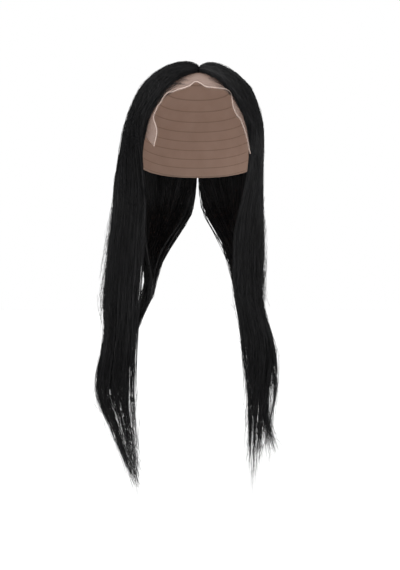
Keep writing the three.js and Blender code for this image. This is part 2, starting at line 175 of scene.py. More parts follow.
BACK_FALL_LEFT = (
    (145, -74, 38, -56, 76, -2, 99, 0.2),
    (170, -71, 26, -58, 64, -8, 90, 0.3),
    (205, -67, 4, -66, 38, -30, 66, 0.5),
    (240, -56, -16, -63.5, 14, -48, 34, 0.85),
    (270, -55.5, -28, -58, -8, -54, 8, 1),
    (300, -70.5, -42, -82, -30, -71.5, -16, 1),
    (345, -74, -51, -92, -46, -79, -34, 1),
    (400, -76, -54, -94, -50, -80, -40, 1),
    (440, -75, -56, -82, -53, -77, -49, 1),
)
BACK_FALL_RIGHT = (
    (145, 73, 38, 56, 76, 2, 99, 0.2),
    (170, 69, 26, 57, 64, 8, 90, 0.3),
    (205, 61, 4, 61, 38, 28, 66, 0.5),
    (240, 51, -16, 60, 14, 39, 34, 0.85),
    (270, 46, -30, 59, -8, 43, 8, 1),
    (300, 50, -43, 63, -30, 49, -16, 1),
    (345, 57, -51, 74, -46, 61, -34, 1),
    (400, 60, -54, 76, -50, 64, -40, 1),
    (440, 63, -56, 70, -53, 65, -49, 1),
)
FALLS = {
    ("front", "left"): FRONT_FALL_LEFT,
    ("front", "right"): FRONT_FALL_RIGHT,
    ("back", "left"): BACK_FALL_LEFT,
    ("back", "right"): BACK_FALL_RIGHT,
}
FLOWS = {"front": FRONT_FLOW, "back": BACK_FLOW}
SIDES = {"left": -1, "right": 1}

# Kinds of strand on each side. roots: stations where they start. depths: outside 0 to inside 1. sway: how
# far a tuft wanders, and frizz: how far a strand does. drift: how far tips blow apart, or short strands
# lie aslant. tuft: strands that keep together. places: front edge 0 to back edge 1. ends: shares of the
# way where they stop, how few of them go far, and the share of tufts that go on to the tip. reach: for
# short strands, how many stations they run.
KIND_FIELDS = "name fall strands points roots depths radius sway frizz drift tuft places ends reach"
Kind = namedtuple("Kind", KIND_FIELDS, defaults=(1, (0, 1), None, None))
KINDS = (
    Kind(
        "top", "front", strands=1700, points=15, roots=(0, 0.35), depths=(0, 0.5), radius=0.19,
        sway=1.4, frizz=0.8, drift=0.9, tuft=8, ends=(0.64, 1.02, 2, 0.09),
    ),
    Kind(
        "part", "front", strands=270, points=8, roots=(0, 0.05), depths=(0.3, 1), radius=0.32,
        sway=0.3, frizz=0.3, drift=0.5, reach=(3, 4.5),
    ),
    Kind(
        "part_back", "back", strands=300, points=8, roots=(0, 0.05), depths=(0.2, 1), radius=0.26,
        sway=0.3, frizz=0.3, drift=0.5, reach=(3, 4.5),
    ),
    Kind(
        "under", "front", strands=1150, points=12, roots=(0.4, 4.3), depths=(0.3, 1), radius=0.3,
        sway=1.3, frizz=0.8, drift=0.8, tuft=12, ends=(0.56, 0.9, 2, 0),
    ),
    Kind(
        "back", "back", strands=1750, points=13, roots=(0, 4), depths=(0, 1), radius=0.32,
        sway=1.4, frizz=0.7, drift=1.0, tuft=10, ends=(0.66, 1, 1, 0),
    ),
    Kind(
        "fill", "back", strands=220, points=9, roots=(3.5, 4.9), depths=(0.4, 1), radius=0.62,
        sway=1.2, frizz=0.5, drift=0.5, tuft=10, ends=(0.5, 0.75, 1, 0),
    ),
    Kind(
        "loose", "front", strands=250, points=20, roots=(0, 0.5), depths=(-0.05, 0.4), radius=0.13,
        sway=1.0, frizz=2.2, drift=8.0, ends=(0.5, 1, 0.5, 0),
    ),
    Kind(
        "fringe", "front", strands=130, points=14, roots=(4.6, 9), depths=(-0.07, 0.1), radius=0.12,
        sway=2, frizz=1.5, drift=4, tuft=2, places=(0.25, 0.75), ends=(0.6, 0.95, 0.5, 0),
    ),
    Kind(
        "kinks", "front", strands=960, points=11, roots=(8, 15.5), depths=(-0.06, 0.4), radius=0.15,
        sway=0.6, frizz=0.7, drift=8, places=(0.03, 1), reach=(0.8, 1.6),
    ),
    Kind(
        "frizz", "front", strands=200, points=11, roots=(6.6, 10.2), depths=(-0.36, 0.05), radius=0.12,
        sway=0.8, frizz=0.9, drift=7, places=(0.3, 0.68), reach=(0.6, 1.4),
    ),
    Kind(
        "kinks_back", "back", strands=280, points=11, roots=(7, 11), depths=(-0.1, 0.6), radius=0.15,
        sway=0.8, frizz=0.9, drift=4, reach=(0.8, 1.6),
    ),
)
SEED = 20

# How strands gather in tufts, end and wander

EDGE_CROWDING = {"front": 0.9, "back": 0.5}  # how far strands crowd towards the edges of a fall
TUFT_DEPTH_WEIGHT = 0.2  # strands of one tuft may differ more in depth than in place
TUFT_GATHER = ((0, 0.05, 0.3, 0.6, 0.8, 1), (0, 0.03, 0.08, 0.4, 0.8, 0.9))  # by share of the fall
FRONT_RETURN = 0.12  # share of the fall in which the front edge of the hair returns to the fall's own
FEWNESS = {"left": 1.15, "right": 0.8}  # tufts that go far are fewer on the left
TO_TIP = (0.85, 1)  # how far tufts that go on to the tip come between their kind's two ends
END_SCATTER = 0.03  # how unevenly the strands of a tuft end
POINT_CROWDING = 1.35  # power by which a strand's points lie closer towards its root
WAVES_EACH = 2
SWAY_TURNS = (0.8, 2.2)  # waves of a tuft over the whole way
FRIZZ_POINTS = 4  # fewest points in a wave of one strand
CAP_FREEDOM = (0.3, 0.15)  # how freely single strands and tufts wander over the cap
FREE_FROM = 0.8  # share of the way to the rim at which they begin to wander more
FREE_AT = 0.9  # share of the whole way at which they are free
DRIFT_FROM = 0.1  # tips begin to blow apart this share of the way past the rim
DRIFT_AT = 1.05  # and would be furthest apart at this share
TUFT_TINT = 0.55  # how much of a strand's tint is its tuft's
STRAND_TINT = 0.45  # and how much is its own
LEAST_COVER = 0.8  # hair over the cap keeps this clear of the cloth, also midway between its points
ROOT_SINK = 0.3  # and its roots start this far inside the cloth
STRAND_SIDES = 3
RADIUS_SPREAD = (0.8, 1.2)
TIP_THINNING = 0.12  # share of its length in which a strand thins to its tip
TIP_THICKNESS = 0.25
MAP_CELL_TALLNESS = 12  # a strand's cell in its map is this many times as tall as it is wide
MAP_CELL_MARGIN = 0.08  # share of the cell that stays free at each edge

# Locks that the tufts of a fall end in. hold: how closely they do. bulge: how far the lock bows out on its
# way down. drift: how far its tip goes sideways and back. end: share of the way where it ends, and even:
# how evenly its strands end there.
Lock = namedtuple("Lock", "place depth hold bulge drift_x drift_y end even")
LOCKS = {
    ("front", "left"): (
        Lock(0.01, 0.3, 0.25, 0, 1, 0, 0.98, 0.15),
        Lock(0.2, 0.4, 0.25, 0, 0, 0, 1.0, 0),
        Lock(0.42, 0.3, 0.25, 0, 0, 0, 1.0, 0),
        Lock(0.62, 0.4, 0.25, -1, -1, 0, 0.97, 0),
        Lock(0.86, 0.5, 0.4, 0, 0, 2, 0.94, 0),
    ),
    ("front", "right"): (
        Lock(0.0, 0.2, 0.85, 0, -1, 0, 0.97, 0),
        Lock(0.1, 0.3, 0.85, 0, 0, 0, 1.0, 0),
        Lock(0.27, 0.3, 0.85, 0, 1, 0, 0.98, 0),
        Lock(0.42, 0.2, 0.8, 0, 5, 0, 0.94, 0),
        Lock(0.48, 0.1, 0.8, 11, 3, 2, 0.9, 0.7),
        Lock(0.56, 0.2, 0.6, 0, 26, 4, 0.93, 0.95),
        Lock(0.68, 0.4, 0.8, 0, 14, 4, 0.94, 0.4),
        Lock(0.88, 0.5, 0.8, 0, 2, 3, 0.9, 0),
    ),
    ("back", "left"): (
        Lock(0.15, 0.4, 0.5, 0, 0, 0, 1.0, 0),
        Lock(0.5, 0.4, 0.5, 0, 0, 0, 0.96, 0),
        Lock(0.85, 0.5, 0.5, 0, 2, 0, 0.98, 0),
    ),
    ("back", "right"): (
        Lock(0.15, 0.4, 0.7, 0, 0, 0, 1.0, 0),
        Lock(0.5, 0.4, 0.7, 0, 2, 0, 0.96, 0),
        Lock(0.85, 0.5, 0.7, 0, -2, 0, 0.98, 0),
    ),
}
LOCK_GATHER = ((0, 0.72, 0.82, 0.9, 1), (0, 0, 0.35, 0.85, 1))  # by share of the fall
SINGLE_HOLD = 0.4  # single strands close in on a lock by this share of what tufts do
EVEN_KIND = "top"  # the kind whose strands may end evenly
BULGE = (0.53, 0.88)  # shares of the fall between which a lock bows out
ADRIFT = (0.77, 0.89)  # shares of the fall between which it takes up its drift
LOOSENESS = (0.6, 1.1)  # how far strands follow the drift of their lock

# Fine strands of the hairline, rooted in the lace

HAIRLINE_STRANDS = 360
HAIRLINE_POINTS = 12
HAIRLINE_RADIUS = 0.13
HAIRLINE_PLACES = (CAP_FRONT, 0.17)
HAIRLINE_DEPTHS = (0.3, 1)
HAIRLINE_REACH = 0.48  # share of the lace's length that the roots take up on each side
HAIRLINE_CROWDING = 1.6  # the more, the closer they crowd to the part
HAIRLINE_ACROSS = 0.36  # where the roots on the lace begin
HAIRLINE_SPREAD = 0.2  # how far over it they lie
HAIRLINE_CORNER = 0.55  # and how much further at the corners beside the part
CORNER_SHARE = 0.27  # share of the lace's length that a corner takes up
ROOT_CROWDING = 1.5  # the more, the fewer roots lie far out on the lace
HAIRLINE_TRIES = 80  # points of the hair behind that a root is compared with
HAIRLINE_ENDS = (0.4, 0.8)
HAIRLINE_POINT_CROWDING = 1.5
HAIRLINE_JOIN = 0.8  # stations that they take to close in on the hair behind them
HAIRLINE_COVER = 0.5  # they keep this clear of the cloth
HAIRLINE_TINTS = (0.1, 0.6)

# Colours and weaves

HAIR_DARK = (0.0018, 0.0018, 0.0022, 1)
HAIR_LIGHT = (0.009, 0.0088, 0.0098, 1)
HAIR_ROUGHNESS = 0.38
LIGHT_ROUGHNESS = 0.1  # how much rougher the lightest strands are
HAIR_SHINE = 0.14
SHEEN = 0.5  # on the lightest strands
SHEEN_ROUGHNESS = 0.28
NET_DARK = (0.29, 0.21, 0.18, 1)
NET_PALE = (0.38, 0.285, 0.245, 1)
NET_SHADED = (0.2, 0.14, 0.12, 1)
KNOT_DARK = (0.05, 0.04, 0.04, 1)
# pale colour painted on the folded edge as a highlight
HEM_HIGHLIGHT = (0.72, 0.6, 0.53, 1)
CAP_DARK = (0.42, 0.28, 0.215, 1)
CAP_PALE = (0.52, 0.36, 0.285, 1)
CAP_ROW = (0.22, 0.145, 0.11, 1)
FLOOR_PALE = (0.92, 0.92, 0.92, 1)
WHITE = (1, 1, 1, 1)
LACE_THREADS = 300  # waves of its threads along the lace
LACE_SLANT = 0.05  # how far the slanting threads lean
THREAD_EDGE = (0.05, 0.35)
HEM_ROWS = (0.9, 0.97)  # share of the lace's rows over which the hem begins, painted pale as a highlight
KNOT_ROWS = (0.36, 0.62)  # and over which the knots and the shade under the hair end
KNOT_EDGE = (0.12, 0.2)
NET_SHADE = 0.6
KNOT_SHADE = 0.7
LACE_COVER = 0.46  # how much the net hides of what is behind it
HOLE_COVER = 0.16  # how much less its holes do
HEM_COVER = 0.3  # and how much more the hem does
CAP_ROW_PITCH = 0.011  # metres between the sewn rows
CAP_ROW_SLOPE = 60.0
CAP_ROW_EDGE = (0.0, 0.22)
STITCH_PITCH = 0.0022
STITCH_SLANT = 0.5
STITCH_EDGE = (0.2, 0.6)
ROW_SHADE = 0.3
STITCH_SHADE = 0.4
NOISE_BUMP = 0.4  # height of the cloth's grain next to a row's

# Camera and studio. The range seen, the floor's size and the lamp are in metres.

IMAGE_WIDTH = 400
IMAGE_HEIGHT = 570
CAMERA_DISTANCE = 1600.0
CAMERA_X = 3.0
CAMERA_Z = -256.0
MM_PER_PIXEL = 1.2  # at the crown's distance
SENSOR = 36.0
NEAREST_SEEN = 0.01
FURTHEST_SEEN = 100
FLOOR_Z = -522.0
FLOOR_HALF_SIZE = 12
ROOM_LIGHT = 0.52
OVERHEAD_LIGHT = 2.7
OVERHEAD_SPREAD = 110  # degrees
OVERHEAD_TILT = 28
KEY_LIGHT = 14
KEY_SIZE = 1.4
KEY_PLACE = (-1.1, -1.7, 0.8)
KEY_AIM = Vector((0, 0, -0.2))


def columns(rows, names):
    """A table's columns by name."""
    return dict(zip(names, np.array(rows, float).T))


def rows_by_name(rows, names):
    """A table's rows, each with its values by name."""
    return [dict(zip(names, row)) for row in np.array(rows, float)]


def between_rows(rows, names, at):
    """Smooth values between a table's rows, by name."""
    return dict(zip(names, spline(np.array(rows, float), at).T))


def smoothstep(value, low, high):
    share = np.clip((value - low) / (high - low), 0, 1)
    return share * share * (3 - 2 * share)


def mix(a, b, share):
    return a + (b - a) * share


def unit(vectors):
    return vectors / np.maximum(np.linalg.norm(vectors, axis=-1, keepdims=True), TINY)


def spline(points, at, strand=None):
    """Smooth values between rows. at counts rows, and strand picks a column of points where it has one."""
    last = len(points) - 1
    start = np.clip(np.floor(at).astype(int), 0, last - 1)
    share = (at - start)[..., None]

    def row(number):
        number = np.clip(number, 0, last)
        return points[number] if strand is None else points[number, strand]

    a = row(start)
    b = row(start + 1)
    slope_a = (b - row(start - 1)) / 2
    slope_b = (row(start + 2) - a) / 2
    cube = 2 * a - 2 * b + slope_a + slope_b
    square = -3 * a + 3 * b - 2 * slope_a - slope_b
    return ((cube * share + square) * share + slope_a) * share + a


def form_radius(direction):
    """Distance from the middle of the form to its surface."""
    level = np.hypot(direction[..., 0], direction[..., 1])
    backward = direction[..., 1] / np.maximum(level, TINY)
    breadth = FORM_HALF_BREADTH * (1 + FRONT_NARROWING * backward)
    reach = (
        np.abs(direction[..., 0] / breadth) ** FORM_SQUARENESS
        + np.abs(direction[..., 1] / FORM_HALF_LENGTH) ** FORM_SQUARENESS
        + np.abs(direction[..., 2] / CROWN_HEIGHT) ** FORM_SQUARENESS
    )
    return reach ** (-1 / FORM_SQUARENESS)


def over_form(direction, height):
    """The point at a height over the form's surface, in a direction from its middle."""
    radius = form_radius(direction) + height
    return FORM_CENTRE + direction * np.asarray(radius)[..., None]


def height_over_form(points):
    from_centre = points - FORM_CENTRE
    return np.linalg.norm(from_centre, axis=-1) - form_radius(unit(from_centre))


def form_direction(turn, drop):
    """Direction to the surface at a turn in degrees from straight ahead and a drop below the crown."""
    angle = np.radians(turn)
    breadth = FORM_HALF_BREADTH * (1 - FRONT_NARROWING * np.cos(angle))
    rise = (CROWN_HEIGHT - drop) / CROWN_HEIGHT
    outline = (
        np.abs(np.sin(angle) / breadth) ** FORM_SQUARENESS
        + np.abs(np.cos(angle) / FORM_HALF_LENGTH) ** FORM_SQUARENESS
    )
    reach = ((1 - np.abs(rise) ** FORM_SQUARENESS) / outline) ** (1 / FORM_SQUARENESS)
    return unit(np.stack((reach * np.sin(angle), -reach * np.cos(angle), CROWN_HEIGHT - drop), axis=-1))


class Finish:
    """A material and its node tree."""

    def __init__(self, name):
        self.material = bpy.data.materials.new(name)
        self.material.use_nodes = True
        self.tree = self.material.node_tree
        self.tree.nodes.clear()

    def node(self, kind, settings=None, output=0, **sockets):
        """Adds a node, sets it up, fills its sockets, and gives the wanted output."""
        made = self.tree.nodes.new(kind)
        for name, value in (settings or {}).items():
            setattr(made, name, value)
        for name, value in sockets.items():
            key = int(name[1:]) if name[0] == "_" else name.replace("_", " ")
            self.feed(made.inputs[key], value)
        return Value(self, made.outputs[output]) if made.outputs else None

    def feed(self, socket, value):
        if isinstance(value, Value):
            self.tree.links.new(value.socket, socket)
        else:
            socket.default_value = value

    def blend(self, low, high, share):
        """A colour between two colours."""
        settings = {"data_type": "RGBA"}
        return self.node("ShaderNodeMix", settings, 2, _0=share, _6=low, _7=high)

    def finish(self, **sockets):
        """The surface: a principled shader with the given sockets."""
        shader = self.node("ShaderNodeBsdfPrincipled", **sockets)
        self.node("ShaderNodeOutputMaterial", Surface=shader)
        return self.material


class Value:
    """A socket that Python's operators turn into Math nodes."""

    def __init__(self, finish, socket):
        self.finish = finish
        self.socket = socket

    def math(self, operation, first, second=0.0):
        return self.finish.node("ShaderNodeMath", {"operation": operation}, _0=first, _1=second)

    def __add__(self, other):
        return self.math("ADD", self, other)

    def __radd__(self, other):
        return self.math("ADD", other, self)

    def __sub__(self, other):
        return self.math("SUBTRACT", self, other)

    def __rsub__(self, other):
        return self.math("SUBTRACT", other, self)

    def __mul__(self, other):
        return self.math("MULTIPLY", self, other)

    def __rmul__(self, other):
        return self.math("MULTIPLY", other, self)

    def __abs__(self):
        return self.math("ABSOLUTE", self)

    def sine(self):
        return self.math("SINE", self)

    def least(self, other):
        return self.math("MINIMUM", self, other)

    def most(self, other):
        return self.math("MAXIMUM", self, other)

    def ramp(self, low, high):
        """This value spread smoothly over 0 to 1 between two limits."""
        settings = {"interpolation_type": "SMOOTHSTEP"}
        return self.finish.node("ShaderNodeMapRange", settings, Value=self, From_Min=low, From_Max=high)


def link(obj):
    bpy.context.scene.collection.objects.link(obj)
    return obj


def dress(name, mesh, material, node):
    """Makes a mesh a piece of the topper, in place of a plain solid."""
    mesh.materials.append(material)
    piece = link(bpy.data.objects.new(name, mesh))
    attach(piece, BODY)
    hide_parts(node)
    return piece


def thicken(piece, thickness, offset):
    """Gives a sheet its thickness in mm, to both sides (offset 0) or outwards (1)."""
    wall = piece.modifiers.new("thickness", "SOLIDIFY")
    wall.thickness = thickness * MM
    wall.offset = offset


def mesh_of(name, shape):
    """A smooth-shaded mesh from a bmesh, which is freed."""
    mesh = bpy.data.meshes.new(name)
    shape.to_mesh(mesh)
    shape.free()
    mesh.polygons.foreach_set("use_smooth", [True] * len(mesh.polygons))
    return mesh


def hair_finish():
    """Black hair, each strand a little lighter or darker, with a soft sheen."""
    hair = Finish("black_hair")
    tint = hair.node("ShaderNodeAttribute", {"attribute_name": "tint"}, "Fac")
    return hair.finish(
        Base_Color=hair.blend(HAIR_DARK, HAIR_LIGHT, tint),
        Roughness=HAIR_ROUGHNESS + LIGHT_ROUGHNESS * tint,
        Specular_IOR_Level=HAIR_SHINE,
        Coat_Weight=SHEEN * tint,
        Coat_Roughness=SHEEN_ROUGHNESS,
    )


def face_places(across, along):
    """Map places of like faces, from how far across and along the strand each of their corners is."""
    both = np.broadcast_arrays(np.stack(across, -1), np.stack(along, -1))
    return np.stack(both, -1).reshape(-1, 2)


def strand_corners(rings):
    """Corner numbers and map places of one strand's faces: quads between rings, then its pointed ends."""
    side = np.arange(STRAND_SIDES)
    following = (side + 1) % STRAND_SIDES
    ring = 1 + np.arange(rings - 1)[:, None] * STRAND_SIDES
    next_ring = ring + STRAND_SIDES
    quads = np.stack((ring + side, ring + following, next_ring + following, next_ring + side), -1)
    last = 1 + (rings - 1) * STRAND_SIDES
    end = last + STRAND_SIDES
    root = np.stack((0 * side, 1 + following, 1 + side), -1)
    tip = np.stack((last + side, last + following, 0 * side + end), -1)
    corners = np.concatenate((quads.ravel(), root.ravel(), tip.ravel()))
    sizes = np.concatenate((np.full(quads.size // 4, 4), np.full(2 * STRAND_SIDES, 3)))

    left = side / STRAND_SIDES
    right = (side + 1) / STRAND_SIDES
    middle = (left + right) / 2
    way = (np.arange(rings) + 0.5) / rings
    low = way[:-1, None]
    high = way[1:, None]
    quad_places = face_places((left, right, right, left), (low, low, high, high))
    root_places = face_places((middle, right, left), (0, way[0], way[0]))
    tip_places = face_places((left, right, middle), (way[-1], way[-1], 1))
    return corners, sizes, np.concatenate((quad_places, root_places, tip_places))


def strand_mesh(name, paths, radii, tints):
    """Closed thin tubes along paths (strands, points, 3), each running to a point at both ends."""
    count, points, _ = paths.shape
    rings = points - 2
    along = unit(np.gradient(paths, axis=1))
    across = unit(np.cross(along, paths - FORM_CENTRE))
    upward = np.cross(across, along)
    angle = 2 * math.pi * np.arange(STRAND_SIDES)[:, None] / STRAND_SIDES
    spokes = np.cos(angle) * across[:, 1:-1, None] + np.sin(angle) * upward[:, 1:-1, None]
    tube = paths[:, 1:-1, None] + radii[:, 1:-1, None, None] * spokes
    vertices = np.concatenate((paths[:, :1], tube.reshape(count, -1, 3), paths[:, -1:]), axis=1)
    each = vertices.shape[1]

    corners, sizes, places = strand_corners(rings)
    corners = (np.arange(count)[:, None] * each + corners).ravel()
    sizes = np.tile(sizes, count)
    mesh = bpy.data.meshes.new(name)
    mesh.vertices.add(count * each)
    mesh.vertices.foreach_set("co", (vertices * MM).astype(np.float32).ravel())
    mesh.loops.add(len(corners))
    mesh.loops.foreach_set("vertex_index", corners.astype(np.int32))
    mesh.polygons.add(len(sizes))
    mesh.polygons.foreach_set("loop_start", (np.cumsum(sizes) - sizes).astype(np.int32))
    mesh.polygons.foreach_set("use_smooth", np.ones(len(sizes), bool))
    mesh.update(calc_edges=True)
    tint = mesh.attributes.new("tint", "FLOAT", "POINT")
    tint.data.foreach_set("value", np.repeat(tints, each).astype(np.float32))

    # Each strand has a cell of its own in the OFBake map
    wide = math.ceil(math.sqrt(count * MAP_CELL_TALLNESS))
    high = math.ceil(count / wide)
    cell = np.stack((np.arange(count) % wide, np.arange(count) // wide), -1)[:, None]
    uv = (cell + MAP_CELL_MARGIN + (1 - 2 * MAP_CELL_MARGIN) * places) / (wide, high)
    layer = mesh.uv_layers.new(name="OFBake")
    layer.data.foreach_set("uv", uv.astype(np.float32).ravel())
    return mesh


def cap_station(side, spread, lift, place, depth):
    """Where strands are at one row of the lift table, on their way from the part to the cap's rim."""
    flow = between_rows(FLOW_ROWS, FLOW_COLUMNS, mix(*spread, np.clip(place, 0, 1)))
    share = lift["share"]
    tilt = np.radians(flow["root"])
    part = np.stack((0 * tilt, np.sin(tilt), np.cos(tilt)), -1)
    beside = unit(part + np.stack((side * flow["sweep"], -flow["forward"], 0 * tilt), -1))
    turn = flow["turn"] + (LEFT_TURN if side < 0 else 0) * (1 - flow["rear"])
    rim = form_direction(side * turn, flow["drop"])
    direction = unit((1 - share) ** 2 * part + 2 * share * (1 - share) * beside + share**2 * rim)
    side_lift = lift["left" if side < 0 else "right"]
    height = CLOTH + mix(side_lift, lift["back"], flow["rear"]) * flow["loft"] * (1 - depth)
    point = over_form(direction, height)
    crossing = side * PART_CROSSING * (1 - share) ** CROSSING_FADE
    point[:, 0] += PART_OFFSET * (1 - share) ** 2 - crossing
    return point


def fall_station(section, place, depth):
    """Where strands are at one cross-section of a fall, which is a parabola filled towards its middle."""
    front, outer, back = (
        np.array((section[edge + "_x"], section[edge + "_y"], -section["drop"]))
        for edge in ("front", "outer", "back")
    )
    middle = (front + back) / 4 + outer / 2
    from_front = front * (1 - place) * (1 - 2 * place)
    from_outer = outer * 4 * place * (1 - place)
    from_back = back * place * (2 * place - 1)
    return mix(from_front + from_outer + from_back, middle, depth * section["fill"])


def hair_stations(side, spread, rows, place, depth):
    """Points that strands pass through, from the part over the cap and down a fall.

    place and depth are given for each strand and station.
    """
    stations = []
    for lift in rows_by_name(LIFT_ROWS, LIFT_COLUMNS):
        at = len(stations)
        stations.append(cap_station(side, spread, lift, place[:, at], depth[:, at]))
    for section in rows_by_name(rows, FALL_COLUMNS):
        at = len(stations)
        stations.append(fall_station(section, place[:, at, None], depth[:, at, None]))
    return np.stack(stations)


def waves(rng, count, share, size, turns):
    """Slow random waves along strands, of about a given size."""
    total = 0
    for _ in range(WAVES_EACH):
        height = rng.normal(0, size, (count, 1))
        speed = 2 * math.pi * rng.uniform(*turns, (count, 1))
        total = total + height * np.sin(speed * share + rng.uniform(0, 2 * math.pi, (count, 1)))
    return total


def crowd(place, fall):
    """Places across a fall, with more of them towards its two edges."""
    return mix(place, (1 - np.cos(math.pi * place)) / 2, EDGE_CROWDING[fall])


def settle_on_cap(paths, at):
    """Keeps the hair over the cap clear of the cloth, and sinks the roots into it.

    A stretch between two points sags by its length squared over eight radii.
    """
    outward = unit(paths - FORM_CENTRE)
    height = height_over_form(paths) - CLOTH
    on_cap = at < len(LIFT_ROWS) - 1
    step = np.linalg.norm(np.diff(paths, axis=1), axis=-1)
    longest = np.maximum(np.pad(step, ((0, 0), (0, 1))), np.pad(step, ((0, 0), (1, 0))))
    sag = longest**2 / (8 * FORM_HALF_BREADTH)
    lack = np.maximum(LEAST_COVER + sag - height, 0) * on_cap
    lack[:, 0] = np.where(on_cap[:, 0], -ROOT_SINK - height[:, 0], 0)
    return paths + lack[..., None] * outward


# Tufts of one kind of strand. place, depth and tint are the tufts', and number is each strand's tuft.
# own_place and own_depth are the strands' before they gather, and lock has the values of the lock that each
# strand ends in.
Tufts = namedtuple("Tufts", "count place depth tint number own_place own_depth lock")


def pick_tufts(kind, side_name, rng):
    """Scatters tufts and strands over a fall, and gives each strand a tuft and a lock."""
    count = kind.strands // kind.tuft
    place = crowd(rng.uniform(*kind.places, count), kind.fall)
    depth = rng.uniform(*kind.depths, count)
    tint = rng.uniform(0, 1, count) ** 2
    own_place = crowd(rng.uniform(*kind.places, kind.strands), kind.fall)
    own_depth = rng.uniform(*kind.depths, kind.strands)
    aside = np.abs(own_place[:, None] - place)
    number = np.argmin(aside + TUFT_DEPTH_WEIGHT * np.abs(own_depth[:, None] - depth), axis=1)
    locks = LOCKS[kind.fall, side_name]
    nearest = np.argmin(np.abs(place[:, None] - [lock.place for lock in locks]), axis=1)
    held_in = columns([locks[at] for at in nearest[number]], Lock._fields)
    return Tufts(count, place, depth, tint, number, own_place, own_depth, held_in)


def gather(kind, tufts, fallen):
    """Places and depths of strands at each station, as they close in on their tufts and locks."""
    in_tufts = float(kind.tuft > 1)
    to_tuft = np.interp(fallen, *TUFT_GATHER) * in_tufts
    hold = tufts.lock["hold"][:, None]
    to_lock = hold * np.interp(fallen, *LOCK_GATHER) * mix(SINGLE_HOLD, 1, in_tufts)
    place = mix(tufts.own_place[:, None], tufts.place[tufts.number][:, None], to_tuft)
    place = mix(place, tufts.lock["place"][:, None], to_lock)
    if kind.fall == "front":
        place = mix(mix(CAP_FRONT, 1, place), place, smoothstep(fallen, 0, FRONT_RETURN))
    depth = mix(tufts.own_depth[:, None], tufts.depth[tufts.number][:, None], to_tuft)
    depth = mix(depth, tufts.lock["depth"][:, None], to_lock)
    return place, depth


def strand_ends(kind, side_name, tufts, start, last, rng):
    """Stations where strands stop: soon after they start, or with their tuft and lock."""
    if kind.reach:
        return np.minimum(start + rng.uniform(*kind.reach, kind.strands), last)
    low, high, fewness, to_tip = kind.ends
    far = rng.beta(1, fewness * FEWNESS[side_name], tufts.count)
    far = np.where(rng.uniform(0, 1, tufts.count) < to_tip, rng.uniform(*TO_TIP, tufts.count), far)
    even = tufts.lock["even"] * (kind.name == EVEN_KIND)
    end = last * tufts.lock["end"] * mix(mix(low, high, far)[tufts.number], 1, even)
    return end * (1 - np.abs(rng.normal(0, END_SCATTER, kind.strands)))


def set_adrift(stations, lock, fallen, rng):
    """Bows locks out on their way down, and lets their tips drift aside."""
    bow = np.sin(math.pi * np.clip((fallen - BULGE[0]) / (BULGE[1] - BULGE[0]), 0, 1)) ** 2
    blown = smoothstep(fallen, *ADRIFT)
    loosely = rng.uniform(*LOOSENESS, stations.shape[1])
    stations[..., 0] += bow[:, None] * lock["bulge"] + blown[:, None] * lock["drift_x"] * loosely
    stations[..., 1] += blown[:, None] * lock["drift_y"] * loosely


def wander(kind, tufts, paths, share, steps, rim, rng):
    """Lets tufts sway, strands frizz and tips blow apart, more freely the further they are from the cap."""
    outward = unit(paths - FORM_CENTRE)
    across = unit(np.cross(unit(np.gradient(paths, axis=1)), outward))
    on_cap = mix(*CAP_FREEDOM, float(kind.tuft > 1))
    freedom = mix(on_cap, 1, smoothstep(share, rim * FREE_FROM, FREE_AT))
    tuft_share = np.linspace(0, 1, 2 * kind.points)
    swing = waves(rng, tufts.count, tuft_share, kind.sway, SWAY_TURNS)
    lean = waves(rng, tufts.count, tuft_share, kind.sway, SWAY_TURNS)
    final = len(tuft_share) - 1
    sample = np.clip((share * final).round().astype(int), 0, final)
    number = tufts.number[:, None]
    frizz_turns = (1, kind.points / FRIZZ_POINTS)
    sideways = swing[number, sample] + waves(rng, kind.strands, steps, kind.frizz, frizz_turns)
    outwards = lean[number, sample] + waves(rng, kind.strands, steps, kind.frizz, frizz_turns)
    tip = steps - 0.5 if kind.reach else smoothstep(share, rim + DRIFT_FROM, DRIFT_AT) ** 2
    sideways = sideways + tip * rng.normal(0, kind.drift, (kind.strands, 1))
    outwards = outwards + tip * rng.normal(0, kind.drift, (kind.strands, 1))
    return paths + (freedom * sideways)[..., None] * across + (freedom * outwards)[..., None] * outward


def strand_radii(rng, count, steps, radius):
    """Thickness along strands: full from the root, and thinning to the tip."""
    taper = mix(TIP_THICKNESS, 1, smoothstep(1 - steps, 0, TIP_THINNING))
    return radius * rng.uniform(*RADIUS_SPREAD, (count, 1)) * taper


def comb_strands(kind, side_name, rng):
    """Paths, radii and tints of one kind of strand, in tufts that close in towards their tips."""
    rows = FALLS[kind.fall, side_name]
    last = len(LIFT_ROWS) + len(rows) - 1
    rim = (len(LIFT_ROWS) - 1) / last
    fallen = np.clip((np.arange(last + 1) / last - rim) / (1 - rim), 0, 1)

    tufts = pick_tufts(kind, side_name, rng)
    place, depth = gather(kind, tufts, fallen)
    start = rng.uniform(*kind.roots, kind.strands)
    end = strand_ends(kind, side_name, tufts, start, last, rng)
    steps = np.linspace(0, 1, kind.points) ** POINT_CROWDING
    at = start[:, None] + (end - start)[:, None] * steps

    stations = hair_stations(SIDES[side_name], FLOWS[kind.fall], rows, place, depth)
    set_adrift(stations, tufts.lock, fallen, rng)
    paths = spline(stations, at, np.arange(kind.strands)[:, None])
    paths = wander(kind, tufts, paths, at / last, steps, rim, rng)
    paths = settle_on_cap(paths, at)
    own_tint = rng.uniform(0, 1, kind.strands) ** 2
    tints = TUFT_TINT * tufts.tint[tufts.number] + STRAND_TINT * own_tint
    return paths, strand_radii(rng, kind.strands, steps, kind.radius), tints


